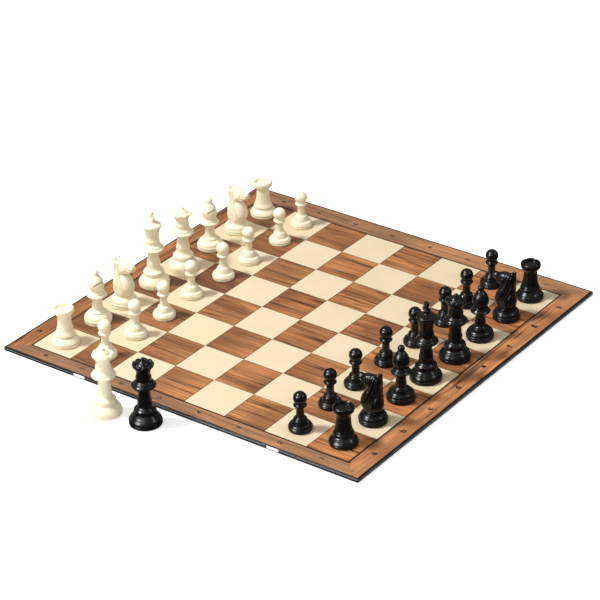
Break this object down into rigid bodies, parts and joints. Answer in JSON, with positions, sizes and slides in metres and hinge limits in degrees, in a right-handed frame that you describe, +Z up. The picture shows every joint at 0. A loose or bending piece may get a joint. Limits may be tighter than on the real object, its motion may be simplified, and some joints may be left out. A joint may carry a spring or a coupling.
{
  "type": "chess set with board",
  "caption": "Tabletop chess set: a thin folding board with a wood-look print, with ivory and black weighted plastic men standing on it and a spare queen of each colour beside it.",
  "frame": {"origin": "centre of the board's underside, on the fold", "axes": "+X runs from file a to file h along the fold, +Y from rank 1 (black men) to rank 8 (white men), +Z up out of the playing surface"},
  "size_m": [0.5417, 0.4844, 0.0999],
  "materials": {
    "board_core": "raw grey board",
    "board_cover": "black laminated wrap, satin",
    "board_print": "printed wood pattern under a satin laminate",
    "hinge_tape": "woven cloth tape",
    "edge_label": "blank matt paper",
    "white_plastic": "moulded ivory plastic, satin gloss",
    "black_plastic": "moulded black plastic, glossy",
    "steel_weight": "plain turned steel"
  },
  "bodies": {
    "white_side": {"white_side_core": "board_core", "white_side_cover": "board_cover", "white_side_print": "board_print", "white_side_hinge_tape": "hinge_tape", "white_side_edge_labels": "edge_label"},
    "black_side": {"black_side_core": "board_core", "black_side_cover": "board_cover", "black_side_print": "board_print", "black_side_hinge_tape": "hinge_tape", "black_side_edge_labels": "edge_label"},
    "white_rook_a": {"white_rook_a": "white_plastic", "white_rook_a_weight": "steel_weight"},
    "white_bishop_b": {"white_bishop_b": "white_plastic", "white_bishop_b_weight": "steel_weight"},
    "white_knight_c": {"white_knight_c": "white_plastic", "white_knight_c_weight": "steel_weight"},
    "white_king": {"white_king": "white_plastic", "white_king_weight": "steel_weight"},
    "white_queen": {"white_queen": "white_plastic", "white_queen_weight": "steel_weight"},
    "white_bishop_f": {"white_bishop_f": "white_plastic", "white_bishop_f_weight": "steel_weight"},
    "white_knight_g": {"white_knight_g": "white_plastic", "white_knight_g_weight": "steel_weight"},
    "white_rook_h": {"white_rook_h": "white_plastic", "white_rook_h_weight": "steel_weight"},
    "black_rook_a": {"black_rook_a": "black_plastic", "black_rook_a_weight": "steel_weight"},
    "black_knight_b": {"black_knight_b": "black_plastic", "black_knight_b_weight": "steel_weight"},
    "black_bishop_c": {"black_bishop_c": "black_plastic", "black_bishop_c_weight": "steel_weight"},
    "black_king": {"black_king": "black_plastic", "black_king_weight": "steel_weight"},
    "black_queen": {"black_queen": "black_plastic", "black_queen_weight": "steel_weight"},
    "black_bishop_f": {"black_bishop_f": "black_plastic", "black_bishop_f_weight": "steel_weight"},
    "black_knight_g": {"black_knight_g": "black_plastic", "black_knight_g_weight": "steel_weight"},
    "black_rook_h": {"black_rook_h": "black_plastic", "black_rook_h_weight": "steel_weight"},
    "white_pawn_a": {"white_pawn_a": "white_plastic"},
    "white_pawn_b": {"white_pawn_b": "white_plastic"},
    "white_pawn_c": {"white_pawn_c": "white_plastic"},
    "white_pawn_d": {"white_pawn_d": "white_plastic"},
    "white_pawn_e": {"white_pawn_e": "white_plastic"},
    "white_pawn_f": {"white_pawn_f": "white_plastic"},
    "white_pawn_g": {"white_pawn_g": "white_plastic"},
    "white_pawn_h": {"white_pawn_h": "white_plastic"},
    "black_pawn_a": {"black_pawn_a": "black_plastic"},
    "black_pawn_b": {"black_pawn_b": "black_plastic"},
    "black_pawn_c": {"black_pawn_c": "black_plastic"},
    "black_pawn_d": {"black_pawn_d": "black_plastic"},
    "black_pawn_e": {"black_pawn_e": "black_plastic"},
    "black_pawn_f": {"black_pawn_f": "black_plastic"},
    "black_pawn_g": {"black_pawn_g": "black_plastic"},
    "black_pawn_h": {"black_pawn_h": "black_plastic"},
    "white_queen_spare": {"white_queen_spare": "white_plastic"},
    "black_queen_spare": {"black_queen_spare": "black_plastic"}
  },
  "joints": [
    {"name": "board_fold", "type": "hinge", "parent": "white_side", "child": "black_side", "pos_m": [0, -0.0004, 0.00415], "axis": [1, 0, 0], "range_deg": [-110, 0]},
    {"name": "white_rook_a_lift", "type": "slide", "parent": "white_side", "child": "white_rook_a", "axis": [0, 0, 1], "range_m": [0, 0.12]},
    {"name": "white_bishop_b_lift", "type": "slide", "parent": "white_side", "child": "white_bishop_b", "axis": [0, 0, 1], "range_m": [0, 0.12]},
    {"name": "white_knight_c_lift", "type": "slide", "parent": "white_side", "child": "white_knight_c", "axis": [0, 0, 1], "range_m": [0, 0.12]},
    {"name": "white_king_lift", "type": "slide", "parent": "white_side", "child": "white_king", "axis": [0, 0, 1], "range_m": [0, 0.12]},
    {"name": "white_queen_lift", "type": "slide", "parent": "white_side", "child": "white_queen", "axis": [0, 0, 1], "range_m": [0, 0.12]},
    {"name": "white_bishop_f_lift", "type": "slide", "parent": "white_side", "child": "white_bishop_f", "axis": [0, 0, 1], "range_m": [0, 0.12]},
    {"name": "white_knight_g_lift", "type": "slide", "parent": "white_side", "child": "white_knight_g", "axis": [0, 0, 1], "range_m": [0, 0.12]},
    {"name": "white_rook_h_lift", "type": "slide", "parent": "white_side", "child": "white_rook_h", "axis": [0, 0, 1], "range_m": [0, 0.12]},
    {"name": "black_rook_a_lift", "type": "slide", "parent": "black_side", "child": "black_rook_a", "axis": [0, 0, 1], "range_m": [0, 0.12]},
    {"name": "black_knight_b_lift", "type": "slide", "parent": "black_side", "child": "black_knight_b", "axis": [0, 0, 1], "range_m": [0, 0.12]},
    {"name": "black_bishop_c_lift", "type": "slide", "parent": "black_side", "child": "black_bishop_c", "axis": [0, 0, 1], "range_m": [0, 0.12]},
    {"name": "black_king_lift", "type": "slide", "parent": "black_side", "child": "black_king", "axis": [0, 0, 1], "range_m": [0, 0.12]},
    {"name": "black_queen_lift", "type": "slide", "parent": "black_side", "child": "black_queen", "axis": [0, 0, 1], "range_m": [0, 0.12]},
    {"name": "black_bishop_f_lift", "type": "slide", "parent": "black_side", "child": "black_bishop_f", "axis": [0, 0, 1], "range_m": [0, 0.12]},
    {"name": "black_knight_g_lift", "type": "slide", "parent": "black_side", "child": "black_knight_g", "axis": [0, 0, 1], "range_m": [0, 0.12]},
    {"name": "black_rook_h_lift", "type": "slide", "parent": "black_side", "child": "black_rook_h", "axis": [0, 0, 1], "range_m": [0, 0.12]},
    {"name": "white_pawn_a_lift", "type": "slide", "parent": "white_side", "child": "white_pawn_a", "axis": [0, 0, 1], "range_m": [0, 0.12]},
    {"name": "white_pawn_b_lift", "type": "slide", "parent": "white_side", "child": "white_pawn_b", "axis": [0, 0, 1], "range_m": [0, 0.12]},
    {"name": "white_pawn_c_lift", "type": "slide", "parent": "white_side", "child": "white_pawn_c", "axis": [0, 0, 1], "range_m": [0, 0.12]},
    {"name": "white_pawn_d_lift", "type": "slide", "parent": "white_side", "child": "white_pawn_d", "axis": [0, 0, 1], "range_m": [0, 0.12]},
    {"name": "white_pawn_e_lift", "type": "slide", "parent": "white_side", "child": "white_pawn_e", "axis": [0, 0, 1], "range_m": [0, 0.12]},
    {"name": "white_pawn_f_lift", "type": "slide", "parent": "white_side", "child": "white_pawn_f", "axis": [0, 0, 1], "range_m": [0, 0.12]},
    {"name": "white_pawn_g_lift", "type": "slide", "parent": "white_side", "child": "white_pawn_g", "axis": [0, 0, 1], "range_m": [0, 0.12]},
    {"name": "white_pawn_h_lift", "type": "slide", "parent": "white_side", "child": "white_pawn_h", "axis": [0, 0, 1], "range_m": [0, 0.12]},
    {"name": "black_pawn_a_lift", "type": "slide", "parent": "black_side", "child": "black_pawn_a", "axis": [0, 0, 1], "range_m": [0, 0.12]},
    {"name": "black_pawn_b_lift", "type": "slide", "parent": "black_side", "child": "black_pawn_b", "axis": [0, 0, 1], "range_m": [0, 0.12]},
    {"name": "black_pawn_c_lift", "type": "slide", "parent": "black_side", "child": "black_pawn_c", "axis": [0, 0, 1], "range_m": [0, 0.12]},
    {"name": "black_pawn_d_lift", "type": "slide", "parent": "black_side", "child": "black_pawn_d", "axis": [0, 0, 1], "range_m": [0, 0.12]},
    {"name": "black_pawn_e_lift", "type": "slide", "parent": "black_side", "child": "black_pawn_e", "axis": [0, 0, 1], "range_m": [0, 0.12]},
    {"name": "black_pawn_f_lift", "type": "slide", "parent": "black_side", "child": "black_pawn_f", "axis": [0, 0, 1], "range_m": [0, 0.12]},
    {"name": "black_pawn_g_lift", "type": "slide", "parent": "black_side", "child": "black_pawn_g", "axis": [0, 0, 1], "range_m": [0, 0.12]},
    {"name": "black_pawn_h_lift", "type": "slide", "parent": "black_side", "child": "black_pawn_h", "axis": [0, 0, 1], "range_m": [0, 0.12]},
    {"name": "white_queen_spare_lift", "type": "slide", "parent": "white_side", "child": "white_queen_spare", "axis": [0, 0, 1], "range_m": [0, 0.12]},
    {"name": "black_queen_spare_lift", "type": "slide", "parent": "white_side", "child": "black_queen_spare", "axis": [0, 0, 1], "range_m": [0, 0.12]}
  ]
}
